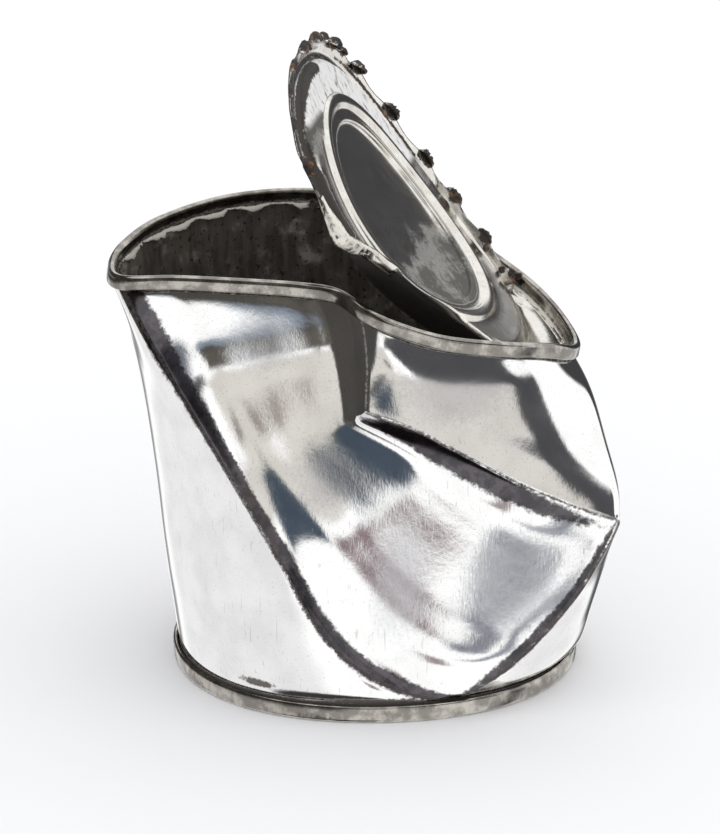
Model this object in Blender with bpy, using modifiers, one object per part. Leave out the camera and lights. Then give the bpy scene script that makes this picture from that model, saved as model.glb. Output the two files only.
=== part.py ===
"""An opened and crushed food can: a tinplate wall, a whole bottom end and a cut-open top end.

The can stands on its bottom seam. +Z is up, -Y is the dented front, and the lid hangs on at the +X end.
Lengths in this file are millimetres until to_mesh() turns them into metres. Angles go round the can in
degrees, from the front (-Y) towards +X.
"""
import math

import bmesh
import bpy
import numpy as np

MM = 0.001

# --- driving dimensions ------------------------------------------------------------------------------
WALL_RADIUS = 36.5          # middle of the wall sheet, before the crush
SHEET = 0.22                # tinplate thickness
LAYER_PITCH = 0.36          # from one layer of a double seam to the next
HOOK_START = 0.6            # where the wall meets the seam's inside, as a share of the seam's height
END_TUCK = 0.45             # the end's hidden edge stops this far below the inside of the crest
CHUCK_STOP = 0.4            # the chuck wall bends away this far above the seam's foot
TOP_SEAM_HEIGHT = 2.7       # the opener's wheel squeezed this seam
BOTTOM_SEAM_HEIGHT = 3.2
BASE_FLAT = 3.0             # how far the dent pushes the front of the bottom seam in
DENT_DEPTH = 1.8            # hollow of the big dent, beyond a surface stretched between its ridges
RIM_UP = (0.16, -0.08, 1.0)  # the way the top seam faces

# --- the crushed top seam's crest line, round the can from the left end ---------------------------------
RIM = {
    "left_end": (-47.2, 0.0, 75.3),
    "left_corner": (-45.0, -9.3, 75.5),
    "front_left_1": (-35.0, -11.2, 76.0),
    "front_left_2": (-22.0, -13.0, 75.9),
    "front_left_3": (-13.0, -14.2, 75.6),
    "kink": (-6.8, -15.8, 75.0),
    "nose_top": (-2.0, -21.3, 73.6),
    "front_right_1": (3.5, -23.3, 71.4),
    "front_right_2": (12.0, -23.2, 68.7),
    "front_right_3": (22.0, -20.8, 66.8),
    "front_right_4": (30.5, -14.8, 64.6),
    "right_corner": (35.9, -5.0, 61.2),
    "right_end": (35.8, 4.5, 61.2),
    "back_right_1": (32.0, 14.8, 64.0),
    "back_right_2": (26.0, 23.4, 67.2),
    "back_right_3": (15.0, 31.2, 72.5),
    "back_1": (2.0, 34.9, 76.6),
    "back_2": (-12.0, 34.2, 79.3),
    "back_left_1": (-27.0, 28.8, 79.7),
    "back_left_2": (-39.5, 19.0, 78.3),
    "back_left_3": (-45.6, 9.3, 76.4),
}

# --- points of the dent ----------------------------------------------------------------------------------
NOSE = (-1.8, -28.0, 56.2)          # where the upright fold meets the cross ridge
RIGHT_PEAK = (43.4, -23.5, 34.3)    # the corner that juts out at the right
DENT_FOOT_ANGLE = 24.0              # where the dent runs out, just above the bottom seam
RIGHT_SIDE_ANGLE = 72.0             # the upright line through the right peak
BACK_LEFT_ANGLE = -120.0            # the line where the plain left wall and the back wall meet

# The left ridge lies on the wall as it stood before the crush: (angle, share of the height) pairs.
LEFT_RIDGE = (
    (-57.0, 0.86), (-44.5, 0.71), (-34.0, 0.55), (-24.5, 0.39), (-17.0, 0.24), (-7.0, 0.12), (5.0, 0.05),
    (15.0, 0.012))
STANDING_OVAL = (-1.5, 44.5, 37.0, 73.0)    # centre x, half width, half depth and height of the standing rim
LOWER_RIGHT_RIDGE = ((22.0, -31.8, 8.2), (29.0, -30.0, 14.2), (36.2, -27.7, 22.4), (41.2, -25.4, 30.4))
CROSS_RIDGE = ((6.9, -28.6, 53.2), (13.7, -28.8, 49.5), (26.0, -27.8, 42.5), (37.0, -25.4, 37.0))
UPRIGHT_FOLD = ((-1.6, -24.6, 65.0),)
RIGHT_EDGE_ABOVE = ((38.6, -9.4, 53.4), (41.3, -15.0, 45.3), (43.2, -20.2, 39.0))
RIGHT_EDGE_BELOW = ((41.6, -18.6, 25.5), (39.3, -14.4, 14.5), (37.4, -12.0, 6.5))

# --- the cut-open top end --------------------------------------------------------------------------------
LIP_OUT = -1.1                       # the stub of metal that the cut left inside the seam ring
LIP_DEPTH = 3.1
LIP_RAGGED = 0.35
BITE = 9.5                           # the opener's lever moves on this far at each bite
BITE_WANDER = 0.6                    # unevenness of the bites, in radians of their wave
FLAP_COLUMNS = (50, 52)              # a longer scrap of the stub, at the back
FLAP_REACH = 1.3
FLAP_DROP = 0.65
HINGE_COLUMNS = (37, 43)             # the rim's columns that the cut left whole, first and last
HINGE_ANGLES = (-22.0, 40.0)         # and where they meet the lid, in degrees round it
LID_RADIUS = 35.5
LID_START = (29.6, 0.1, 58.8)        # middle of the uncut strip, at the ring's lip
LID_HEADING = (-0.986, 0.167, 0.0)   # the way the lid runs from there, seen from above
LID_RISE = ((0.0, 32.5), (71.0, 71.5))  # (distance from the strip, slope in degrees)
NEAR_CREASE = ((0.0, 13.0), (14.0, 14.5), (29.0, 21.0), (36.0, 26.5), (42.0, 35.0))
FAR_CREASE = (
    (0.0, 14.0), (7.0, 16.5), (11.0, 18.5), (15.0, 21.5), (19.0, 23.5), (24.0, 26.5), (31.5, 33.5),
    (36.0, 37.0))
NEAR_BEND = (-0.80, -0.60)           # (sideways, outward) run of the near side past its crease: folded under
FAR_BEND = (0.20, 0.20)              # the far side is squeezed up over the seam
LID_STEPS = 40                       # straight steps that stand for the bent middle line
LID_FIXED_RADIUS = 30.0              # the strip's pull on the lid ends here
LID_CUT_CELLS = 54                   # cells round the cut edge
TOOTH_CELLS = 3
TOOTH = 0.9
LID_PROFILE = (                      # (radius, height towards the lid's outer face)
    (34.2, -0.2), (33.2, -0.9), (32.0, -1.0), (31.0, -0.1), (30.0, 0.3), (25.4, 0.2), (24.2, 0.9),
    (22.8, 0.9), (21.6, 0.2), (19.6, 0.2), (18.4, -0.5), (9.0, -0.5))
EDGE_HEIGHT = 0.5

# --- the bottom end ----------------------------------------------------------------------------------------
COUNTERSINK = (                      # (distance out from the wall, depth below the crest)
    (-0.4, 3.6), (-0.8, 4.4), (-1.5, 4.7), (-2.2, 4.4), (-2.6, 3.6))
BOTTOM_PROFILE = (                   # (share of the wall's radius, depth below the crest)
    (0.84, 3.5), (0.80, 3.1), (0.76, 3.5), (0.70, 3.5), (0.66, 3.1), (0.62, 3.5), (0.56, 3.5), (0.53, 3.9),
    (0.25, 3.9))

# --- cells of the wall's cage ------------------------------------------------------------------------------
LEFT_CELLS = 16
DENT_CELLS = 14
FACET_CELLS = 8
FOLD_CELLS = 6
BACK_CELLS = 18
FOOT_CELLS = DENT_CELLS - FACET_CELLS
WELD = 0.01                 # points this near each other are one point
SHARP_ANGLE = 40.0          # folds sharper than this are shaded as edges


def smooth_curve(points, closed=False, steps=16):
    """Catmull-Rom curve through the points, with `steps` samples to each span."""
    p = np.asarray(points, float)
    if closed:
        p = np.vstack([p[-1], p, p[0], p[1]])
    else:
        p = np.vstack([2 * p[0] - p[1], p, 2 * p[-1] - p[-2]])
    t = np.linspace(0.0, 1.0, steps, endpoint=False)[:, None]
    spans = [
        0.5 * (2 * b + (c - a) * t + (2 * a - 5 * b + 4 * c - d) * t**2 + (3 * b - a - 3 * c + d) * t**3)
        for a, b, c, d in zip(p, p[1:], p[2:], p[3:])
    ]
    return np.vstack(spans + [p[-2:-1]])


def spaced(curve, cells):
    """cells + 1 points at even distances along a polyline."""
    run = np.r_[0.0, np.cumsum(np.linalg.norm(np.diff(curve, axis=0), axis=1))]
    marks = np.linspace(0.0, run[-1], cells + 1)
    return np.column_stack([np.interp(marks, run, curve[:, axis]) for axis in range(3)])


def between(start, middle, end, cells):
    """Evenly spaced smooth curve from start to end through the middle points."""
    return spaced(smooth_curve([start, *middle, end]), cells)


def unit(vectors):
    return vectors / np.linalg.norm(vectors, axis=-1, keepdims=True)


class SeamLine:
    """The closed crest line of a double seam, with an outward and an up direction at each point."""

    def __init__(self, points, up):
        self.points = np.asarray(points, float)
        along = unit(np.roll(self.points, -1, axis=0) - np.roll(self.points, 1, axis=0))
        up = np.broadcast_to(np.asarray(up, float), along.shape)
        self.up = unit(up - (up * along).sum(axis=1, keepdims=True) * along)
        self.out = np.cross(along, self.up) * (1.0 if self.up[0, 2] > 0 else -1.0)

    def row(self, out, depth):
        """The points that lie `out` beyond the body wall and `depth` below the crest."""
        return self.points + self.out * (out - LAYER_PITCH) - self.up * depth


def arc(centre, radius, start, end, steps):
    """Points round an arc in a seam's section: (out, depth), angles in degrees from +out towards the crest.

    The sides between the first and the last touch the arc from outside, so a crest gets a flat band.
    """
    angles = np.radians(np.linspace(start, end, steps + 1))
    radii = np.full(steps + 1, radius / math.cos(abs(angles[1] - angles[0]) / 2))
    radii[[0, -1]] = radius
    return [(centre[0] + r * math.cos(a), centre[1] - r * math.sin(a)) for r, a in zip(radii, angles)]


def body_hook(height):
    """Section of the wall's rolled-over flange inside a double seam, from the wall to the hook's end."""
    top = 2 * LAYER_PITCH + SHEET / 2
    return [(0.0, height * HOOK_START)] + arc((LAYER_PITCH, top), LAYER_PITCH, 180, 0, 4) + [
        (2 * LAYER_PITCH, height - 2 * LAYER_PITCH - SHEET)]


def end_seam(height):
    """Section of an end's metal in a double seam, from the hook's end over the crest to the chuck wall."""
    top = 2 * LAYER_PITCH + SHEET / 2
    curl = height - LAYER_PITCH - SHEET / 2
    return (
        [(LAYER_PITCH, top + END_TUCK)]
        + arc((2 * LAYER_PITCH, curl), LAYER_PITCH, 180, 360, 3)
        + arc((LAYER_PITCH, top), 2 * LAYER_PITCH, 0, 180, 5)
    )


def base_point(angle):
    """A point of the bottom seam's crest line, which rests on the floor."""
    a = math.radians(angle)
    radius = WALL_RADIUS + LAYER_PITCH
    front = max(0.0, math.cos(a - math.radians(5.0))) ** 3
    return (radius * math.sin(a), -radius * math.cos(a) + BASE_FLAT * front, 0.0)


def rim_line():
    """The top seam's columns: left wall, dent, facet, back; starting at the back-left line."""
    names = list(RIM)
    start = names.index("back_left_2")
    names = names[start:] + names[:start]
    steps = 16
    curve = smooth_curve([RIM[name] for name in names], closed=True, steps=steps)
    marks = [0, names.index("left_corner"), names.index("nose_top"), names.index("right_corner"), len(names)]
    cells = (LEFT_CELLS, DENT_CELLS, FACET_CELLS, BACK_CELLS)
    pieces = [spaced(curve[a * steps:b * steps + 1], n)[:-1] for a, b, n in zip(marks, marks[1:], cells)]
    return SeamLine(np.vstack(pieces), RIM_UP)


def base_line():
    """The bottom seam's columns: left wall, foot of the lower right wall, back."""
    angles = np.r_[
        np.linspace(BACK_LEFT_ANGLE, DENT_FOOT_ANGLE, LEFT_CELLS, endpoint=False),
        np.linspace(DENT_FOOT_ANGLE, RIGHT_SIDE_ANGLE, FOOT_CELLS, endpoint=False),
        np.linspace(RIGHT_SIDE_ANGLE, BACK_LEFT_ANGLE + 360.0, BACK_CELLS, endpoint=False),
    ]
    return SeamLine([base_point(a) for a in angles], (0.0, 0.0, -1.0))


def standing_wall(angle, height):
    """A point of the wall as it stood before the crush: a cone from the round base to an oval rim."""
    a = math.radians(angle)
    centre_x, half_width, half_depth, rim_z = STANDING_OVAL
    base = np.array(base_point(angle)) + (0.0, 0.0, BOTTOM_SEAM_HEIGHT)
    rim = np.array((centre_x + half_width * math.sin(a), -half_depth * math.cos(a), rim_z))
    return base + (rim - base) * height


def patch(top, bottom, left, right, fade=(1.0, 1.0)):
    """A grid ruled from top to bottom, with its sides' bends fading into it.

    fade gives how fast the left and the right side's bends die out: 1 is even, more is faster.
    """
    rows, columns = len(left), len(top)
    v = np.linspace(0.0, 1.0, rows)[:, None, None]
    u = np.linspace(0.0, 1.0, columns)[None, :, None]
    ruled = top[None] * (1 - v) + bottom[None] * v
    left_bend = left[:, None] - ruled[:, :1]
    right_bend = right[:, None] - ruled[:, -1:]
    return ruled + left_bend * (1 - u) ** fade[0] + right_bend * u ** fade[1]


def hollow(grid, direction, depth):
    """Push the middle of a patch along a direction, leaving its edges where they are."""
    v = np.linspace(0.0, 1.0, grid.shape[0])[:, None, None]
    u = np.linspace(0.0, 1.0, grid.shape[1])[None, :, None]
    return grid + np.asarray(direction, float) * depth * np.sin(math.pi * u) * np.sin(math.pi * v)


def wrap(rows):
    """A grid whose last column is its first: a band that goes all the way round."""
    grid = np.asarray(rows)
    return np.concatenate([grid, grid[:, :1]], axis=1)


def to_mesh(name, grids, fans):
    """One mesh in metres, with its shared edges welded.

    The grids' rows run down or inward. A fan is a middle point and the ring of points round it.
    """
    bm = bmesh.new()
    for grid in grids:
        verts = [[bm.verts.new(point * MM) for point in row] for row in grid]
        for upper, lower in zip(verts, verts[1:]):
            for i in range(len(upper) - 1):
                bm.faces.new((lower[i], lower[i + 1], upper[i + 1], upper[i]))
    for centre, ring in fans:
        middle = bm.verts.new(np.asarray(centre) * MM)
        verts = [bm.verts.new(point * MM) for point in ring]
        for a, b in zip(verts, verts[1:] + verts[:1]):
            bm.faces.new((middle, b, a))
    bmesh.ops.remove_doubles(bm, verts=bm.verts, dist=WELD * MM)
    mesh = bpy.data.meshes.new(name)
    bm.to_mesh(mesh)
    bm.free()
    mesh.shade_smooth()
    mesh.set_sharp_from_angle(angle=math.radians(SHARP_ANGLE))
    return mesh


def make_wall(rim, base):
    """The crushed wall with its rolled-over flanges, as grids of points on the middle of the sheet."""
    top = rim.row(0.0, TOP_SEAM_HEIGHT)
    bottom = base.row(0.0, BOTTOM_SEAM_HEIGHT)
    top_ring, bottom_ring = np.vstack([top, top[:1]]), np.vstack([bottom, bottom[:1]])

    corner = LEFT_CELLS                                 # columns of the top row
    nose = corner + DENT_CELLS
    right = nose + FACET_CELLS
    foot = LEFT_CELLS                                   # columns of the bottom row
    side = foot + FOOT_CELLS

    peak = np.array(RIGHT_PEAK)
    ridge_points = [standing_wall(*p) for p in LEFT_RIDGE]
    left_ridge = between(top_ring[corner], ridge_points, bottom_ring[foot], FOLD_CELLS + FACET_CELLS)
    lower_right_ridge = between(bottom_ring[foot], LOWER_RIGHT_RIDGE, peak, DENT_CELLS)
    fold = between(top_ring[nose], UPRIGHT_FOLD, NOSE, FOLD_CELLS)
    cross_ridge = between(NOSE, CROSS_RIDGE, peak, FACET_CELLS)
    edge_above = between(top_ring[right], RIGHT_EDGE_ABOVE, peak, FOLD_CELLS)
    edge_below = between(peak, RIGHT_EDGE_BELOW, bottom_ring[side], FACET_CELLS)
    right_edge = np.vstack([edge_above, edge_below[1:]])
    fold_and_ridge = np.vstack([fold, cross_ridge[1:]])
    back_left = spaced(np.array([top_ring[0], bottom_ring[0]]), FOLD_CELLS + FACET_CELLS)

    dent = patch(top_ring[corner:nose + 1], lower_right_ridge, left_ridge, fold_and_ridge)
    return [
        patch(top_ring[:corner + 1], bottom_ring[:foot + 1], back_left, left_ridge, fade=(1, 2)),
        hollow(dent, (0.0, 1.0, 0.0), DENT_DEPTH),
        patch(top_ring[nose:right + 1], cross_ridge, fold, edge_above),
        patch(lower_right_ridge[FACET_CELLS:], bottom_ring[foot:side + 1],
              lower_right_ridge[FACET_CELLS::-1], edge_below),
        patch(top_ring[right:], bottom_ring[side:], right_edge, back_left, fade=(3, 1)),
        wrap([rim.row(*p) for p in body_hook(TOP_SEAM_HEIGHT)[::-1]] + [top]),
        wrap([bottom] + [base.row(*p) for p in body_hook(BOTTOM_SEAM_HEIGHT)]),
    ]


def make_bottom_end(base):
    """The bottom end: its double seam, countersink, beads and centre panel."""
    chuck_foot = (-LAYER_PITCH, BOTTOM_SEAM_HEIGHT - CHUCK_STOP)
    rows = [base.row(*p) for p in (*end_seam(BOTTOM_SEAM_HEIGHT), chuck_foot, *COUNTERSINK)]
    wall = base.row(0.0, 0.0)
    rows += [wall * (share, share, 1.0) + (0.0, 0.0, depth) for share, depth in BOTTOM_PROFILE]
    return [wrap(rows)], [((0.0, 0.0, BOTTOM_PROFILE[-1][1]), rows[-1])]


def lid_frame(distance):
    """Where the lid's middle line is at a distance from the strip, and its outward direction there."""
    marks = np.linspace(0.0, distance, LID_STEPS + 1)
    slope = np.radians(np.interp(marks, *zip(*LID_RISE)))
    middle, step = (slope[1:] + slope[:-1]) / 2, distance / LID_STEPS
    run, rise = np.cos(middle).sum() * step, np.sin(middle).sum() * step
    heading = np.array(LID_HEADING)
    point = np.array(LID_START) + heading * run + (0.0, 0.0, rise)
    return point, np.array((0.0, 0.0, math.cos(slope[-1]))) - heading * math.sin(slope[-1])


def lid_point(radius, angle, height):
    """A point of the bent lid; angle 0 points back to the strip, and height is towards the outer face."""
    distance, offset = LID_RADIUS - radius * math.cos(angle), radius * math.sin(angle)
    point, normal = lid_frame(distance)
    across = np.array((LID_HEADING[1], -LID_HEADING[0], 0.0))
    crease, (sideways, outward) = (FAR_CREASE, FAR_BEND) if offset > 0 else (NEAR_CREASE, NEAR_BEND)
    beyond = max(0.0, abs(offset) - np.interp(distance, *zip(*crease)))
    offset -= math.copysign(beyond * (1.0 - sideways), offset)
    return point + across * offset + normal * (height + beyond * outward)


def make_top_end(rim):
    """The seam ring with its ragged lip, and the lid that still hangs on at the uncut strip."""
    count = len(rim.points)
    hinge = list(range(HINGE_COLUMNS[0], HINGE_COLUMNS[1] + 1))
    run = np.r_[0.0, np.cumsum(np.linalg.norm(np.diff(rim.points, axis=0), axis=1))]
    lip = rim.row(LIP_OUT, LIP_DEPTH)
    for i in range(count):
        if i not in hinge:
            bite = LIP_RAGGED * math.sin(2 * math.pi * run[i] / BITE + BITE_WANDER * math.sin(i))
            reach, drop = (FLAP_REACH, FLAP_DROP) if FLAP_COLUMNS[0] <= i < FLAP_COLUMNS[1] else (0.0, 0.0)
            lip[i] -= rim.out[i] * (bite + reach) + rim.up[i] * (bite + drop)
    section = end_seam(TOP_SEAM_HEIGHT) + [(-LAYER_PITCH, TOP_SEAM_HEIGHT - CHUCK_STOP)]
    ring = wrap([rim.row(*p) for p in section] + [lip])

    first, last = HINGE_ANGLES
    angles = np.radians(np.r_[
        np.linspace(first, last, len(hinge)),
        np.linspace(last, first + 360.0, LID_CUT_CELLS + 1)[1:-1],
    ])
    rows = []
    for radius, height in ((LID_RADIUS, EDGE_HEIGHT),) + LID_PROFILE:
        edge = np.clip((radius - LID_FIXED_RADIUS) / (LID_RADIUS - LID_FIXED_RADIUS), 0.0, 1.0)
        row = []
        for i, angle in enumerate(angles):
            cut = i - len(hinge)
            tooth = TOOTH if radius == LID_RADIUS and cut >= 0 and cut % TOOTH_CELLS == 1 else 0.0
            point = lid_point(radius + tooth, angle, height + tooth / 2)
            if cut < 0:
                point = point + (lip[hinge[i]] - lid_point(LID_RADIUS, angle, EDGE_HEIGHT)) * edge
            row.append(point)
        rows.append(row)
    middle = lid_point(0.0, 0.0, LID_PROFILE[-1][1])
    return [ring, wrap(rows)], [(middle, rows[-1])]


def tinplate(name, colour, roughness):
    """A plain metal material."""
    material = bpy.data.materials.new(name)
    material.use_nodes = True
    shader = material.node_tree.nodes["Principled BSDF"]
    shader.inputs["Base Color"].default_value = (*colour, 1.0)
    shader.inputs["Metallic"].default_value = 1.0
    shader.inputs["Roughness"].default_value = roughness
    return material


def make_sheet(name, grids, fans, material, collection):
    """An object of sheet metal: the surface of the grids and fans with the tinplate's thickness."""
    item = bpy.data.objects.new(name, to_mesh(name, grids, fans))
    item.data.materials.append(material)
    collection.objects.link(item)
    thickness = item.modifiers.new("sheet", "SOLIDIFY")
    thickness.thickness = SHEET * MM
    thickness.offset = 0.0
    thickness.use_even_offset = True
    return item


def centre_over_origin(pieces, carrier):
    """Hang the pieces on the carrier, and move it until their box is centred on the Z axis."""
    for piece in pieces:
        piece.parent = carrier
    bpy.context.view_layer.update()
    depsgraph = bpy.context.evaluated_depsgraph_get()
    corners = np.array([corner for piece in pieces for corner in piece.evaluated_get(depsgraph).bound_box])
    x, y, _ = (corners.min(axis=0) + corners.max(axis=0)) / 2
    carrier.location = (-x, -y, 0.0)


def main():
    for old in list(bpy.data.objects):
        bpy.data.objects.remove(old, do_unlink=True)
    collection = bpy.data.collections.new("crushed_food_can")
    bpy.context.scene.collection.children.link(collection)
    rim, base = rim_line(), base_line()
    bright = tinplate("bright_tinplate", (0.78, 0.78, 0.77), 0.2)
    dull = tinplate("dull_tinplate", (0.62, 0.59, 0.53), 0.35)
    pieces = [
        make_sheet("can_body", make_wall(rim, base), [], bright, collection),
        make_sheet("bottom_end", *make_bottom_end(base), dull, collection),
        make_sheet("top_end", *make_top_end(rim), dull, collection),
    ]
    carrier = bpy.data.objects.new("can_centre", None)
    collection.objects.link(carrier)
    centre_over_origin(pieces, carrier)


main()
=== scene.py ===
import math

import bmesh
import bpy
import numpy as np
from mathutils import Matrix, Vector, kdtree


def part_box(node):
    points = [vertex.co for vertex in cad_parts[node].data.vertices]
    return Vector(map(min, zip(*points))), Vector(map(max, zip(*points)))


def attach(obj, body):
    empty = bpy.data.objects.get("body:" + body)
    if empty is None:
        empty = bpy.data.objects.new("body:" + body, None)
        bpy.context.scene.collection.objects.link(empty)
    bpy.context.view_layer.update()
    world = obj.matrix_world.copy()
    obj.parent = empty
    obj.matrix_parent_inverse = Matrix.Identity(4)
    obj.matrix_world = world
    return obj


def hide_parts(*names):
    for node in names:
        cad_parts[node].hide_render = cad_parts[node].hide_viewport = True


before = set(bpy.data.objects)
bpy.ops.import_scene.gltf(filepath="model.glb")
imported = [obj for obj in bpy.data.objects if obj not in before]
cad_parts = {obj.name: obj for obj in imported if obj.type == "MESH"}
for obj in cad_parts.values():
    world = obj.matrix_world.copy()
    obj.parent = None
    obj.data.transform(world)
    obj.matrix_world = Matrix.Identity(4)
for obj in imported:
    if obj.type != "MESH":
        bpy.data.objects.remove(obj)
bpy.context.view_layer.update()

MM = 0.001
BODY = "root"
BACKWARD = np.array((0.0, 1.0, 0.0))

# --- driving dimensions, as in the part's source
WALL_RADIUS = 36.5
SHEET = 0.22
LAYER_PITCH = 0.36
END_TUCK = 0.45
CHUCK_STOP = 0.4
TOP_SEAM_HEIGHT = 2.7
BOTTOM_SEAM_HEIGHT = 3.2
BASE_FLAT = 3.0
RIM_UP = (0.16, -0.08, 1.0)

RIM = {
    "left_end": (-47.2, 0.0, 75.3),
    "left_corner": (-45.0, -9.3, 75.5),
    "front_left_1": (-35.0, -11.2, 76.0),
    "front_left_2": (-22.0, -13.0, 75.9),
    "front_left_3": (-13.0, -14.2, 75.6),
    "kink": (-6.8, -15.8, 75.0),
    "nose_top": (-2.0, -21.3, 73.6),
    "front_right_1": (3.5, -23.3, 71.4),
    "front_right_2": (12.0, -23.2, 68.7),
    "front_right_3": (22.0, -20.8, 66.8),
    "front_right_4": (30.5, -14.8, 64.6),
    "right_corner": (35.9, -5.0, 61.2),
    "right_end": (35.8, 4.5, 61.2),
    "back_right_1": (32.0, 14.8, 64.0),
    "back_right_2": (26.0, 23.4, 67.2),
    "back_right_3": (15.0, 31.2, 72.5),
    "back_1": (2.0, 34.9, 76.6),
    "back_2": (-12.0, 34.2, 79.3),
    "back_left_1": (-27.0, 28.8, 79.7),
    "back_left_2": (-39.5, 19.0, 78.3),
    "back_left_3": (-45.6, 9.3, 76.4),
}
NOSE = (-1.8, -28.0, 56.2)
RIGHT_PEAK = (43.4, -23.5, 34.3)
DENT_FOOT_ANGLE = 24.0
RIGHT_SIDE_ANGLE = 72.0
BACK_LEFT_ANGLE = -120.0
LEFT_RIDGE = (
    (-57.0, 0.86), (-44.5, 0.71), (-34.0, 0.55), (-24.5, 0.39), (-17.0, 0.24), (-7.0, 0.12), (5.0, 0.05),
    (15.0, 0.012))
STANDING_OVAL = (-1.5, 44.5, 37.0, 73.0)
LOWER_RIGHT_RIDGE = ((22.0, -31.8, 8.2), (29.0, -30.0, 14.2), (36.2, -27.7, 22.4), (41.2, -25.4, 30.4))
CROSS_RIDGE = ((6.9, -28.6, 53.2), (13.7, -28.8, 49.5), (26.0, -27.8, 42.5), (37.0, -25.4, 37.0))
UPRIGHT_FOLD = ((-1.6, -24.6, 65.0),)
RIGHT_EDGE_ABOVE = ((38.6, -9.4, 53.4), (41.3, -15.0, 45.3), (43.2, -20.2, 39.0))
RIGHT_EDGE_BELOW = ((41.6, -18.6, 25.5), (39.3, -14.4, 14.5), (37.4, -12.0, 6.5))

# --- finer forms of the wall than the solids have
# The dent lies a step back from its edges, and its middle a little further. The face above the cross ridge
# is slightly hollow.
STEP_DEPTH = 1.6
STEP_WIDTHS = (8.0, 2.0, 12.0, 2.4)
DENT_DEPTH = 0.3
FACET_DEPTH = 0.3
# How far the wall's edges reach into the seams, as shares of a seam's height.
WALL_TUCK = (0.75, 0.45)
# How sharp each fold is, from its upper or left end to the other.
LEFT_CREASE = (0.3, 0.0, 0.0, 0.0, 0.1)
LOWER_RIGHT_CREASE = (0.3, 0.6, 0.7)
FOLD_CREASE = (0.2, 0.4, 0.6)
CROSS_CREASE = (0.5, 0.4, 0.5, 0.7)

# --- the wall's wear
# The dark bands beside the ridges, painted shade that is partly grime: how far off the ridge, and the half
# widths along it.
LEFT_SHADE_BAND = ((1.1, 0.5, 0.3), (1.8, 2.1, 1.6, 1.2, 1.3, 1.6, 1.7, 0.8))
CROSS_SHADE_BAND = ((-0.9, 0.9, -1.9), (1.1, 2.2, 2.4, 1.9, 1.2))
LOWER_RIGHT_SHADE_BAND = ((-0.7, 0.4, 0.6), (1.0, 1.3, 1.2, 1.0, 0.5))
# The welded side seam's place and half width, as shares of the way round the back wall.
WELD_AT = 0.42
WELD_HALF = 0.0048
# Stains: how strong, where, and their reach along X, Y and Z.
WALL_STAINS = (
    (0.85, (-21.0, -29.0, 5.6), (4.5, 6.0, 1.0)),
    (0.8, (0.0, -34.0, 4.0), (13.0, 6.0, 0.9)),
    (0.7, (35.3, -12.0, 5.8), (1.6, 6.0, 1.1)),
    (0.6, (20.0, 30.0, 5.5), (7.0, 8.0, 1.2)),
    (0.6, (-33.0, 16.0, 5.0), (6.0, 8.0, 1.0)),
)
# Tarnish: where, and its reach.
WALL_TARNISH = (
    ((-20.0, -18.0, 66.0), (9.0, 12.0, 6.0)),
    ((-9.0, -24.0, 44.0), (7.0, 12.0, 9.0)),
    ((24.0, -27.0, 24.0), (11.0, 12.0, 13.0)),
    ((4.0, -27.0, 24.0), (7.0, 12.0, 15.0)),
    ((14.0, -24.0, 60.0), (13.0, 12.0, 8.0)),
    ((10.0, 33.0, 40.0), (16.0, 14.0, 12.0)),
    ((-34.0, 14.0, 30.0), (14.0, 14.0, 18.0)),
)

# --- the bottom seam's wear, in the same way
SEAM_STAINS = (
    (0.7, (-31.0, -21.0, 1.6), (6.0, 6.0, 1.2)),
    (0.6, (-12.0, -35.0, 1.0), (8.0, 5.0, 0.8)),
    (0.55, (12.0, -33.0, 2.0), (5.0, 5.0, 0.7)),
    (0.6, (33.0, -16.0, 1.4), (4.0, 5.0, 1.0)),
    (0.5, (0.0, 0.0, 3.5), (22.0, 16.0, 3.0)),
)
# Rust: where, and its reach.
SEAM_RUST = (
    ((-36.0, 9.0, 1.0), (1.2, 5.0, 0.8)),
    ((14.0, 34.0, 0.8), (6.0, 1.5, 0.7)),
    ((9.0, -12.0, 3.5), (5.0, 3.0, 2.0)),
)

# --- the cut-open top end, as in the part's source
LIP_OUT = -1.1
LIP_DEPTH = 3.1
BITE = 9.5
BITE_WANDER = 0.6
HINGE_COLUMNS = (37, 43)
HINGE_ANGLES = (-22.0, 40.0)
LID_RADIUS = 35.5
LID_START = (29.6, 0.1, 58.8)
LID_HEADING = (-0.986, 0.167, 0.0)
LID_ACROSS = np.array((LID_HEADING[1], -LID_HEADING[0], 0.0))
LID_RISE = ((0.0, 32.5), (71.0, 71.5))
NEAR_CREASE = ((0.0, 13.0), (14.0, 14.5), (29.0, 21.0), (36.0, 26.5), (42.0, 35.0))
FAR_CREASE = (
    (0.0, 14.0), (7.0, 16.5), (11.0, 18.5), (15.0, 21.5), (19.0, 23.5), (24.0, 26.5), (31.5, 33.5),
    (36.0, 37.0))
NEAR_BEND = (-0.80, -0.60)
FAR_BEND = (0.20, 0.20)
LID_STEPS = 40
LID_FIXED_RADIUS = 30.0
LID_CUT_CELLS = 54
LID_PROFILE = (
    (34.2, -0.2), (33.2, -0.9), (32.0, -1.0), (31.0, -0.1), (30.0, 0.3), (25.4, 0.2), (24.2, 0.9),
    (22.8, 0.9), (21.6, 0.2), (19.6, 0.2), (18.4, -0.5), (9.0, -0.5))
EDGE_HEIGHT = 0.5

# --- finer forms of the top end
LIP_RAGGED = 0.4
LIP_JITTER = 0.14
# The scrap that hangs in from the lip at the back: where, its reach along X, Y and Z, and its length.
FLAP = (1.0, 33.6, 76.5)
FLAP_RADII = (2.2, 6.0, 9.0)
FLAP_LENGTH = 2.2
# The tongues that the opener's bites left on the lid's edge: angle in degrees and size in millimetres.
TEETH = (
    (45.0, 0.35), (62.0, 0.55), (77.5, 0.6), (91.5, 0.65), (110.5, 0.75), (132.0, 0.8), (143.0, 0.4),
    (151.0, 0.8), (162.0, 0.55), (173.0, 0.8), (185.0, 0.75), (197.0, 0.45), (209.0, 0.4), (222.0, 0.35),
    (236.0, 0.7))
TOOTH_CURL = 250.0
TOOTH_HALF = 2.3
TOOTH_POINTS = (11, 13)
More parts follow.
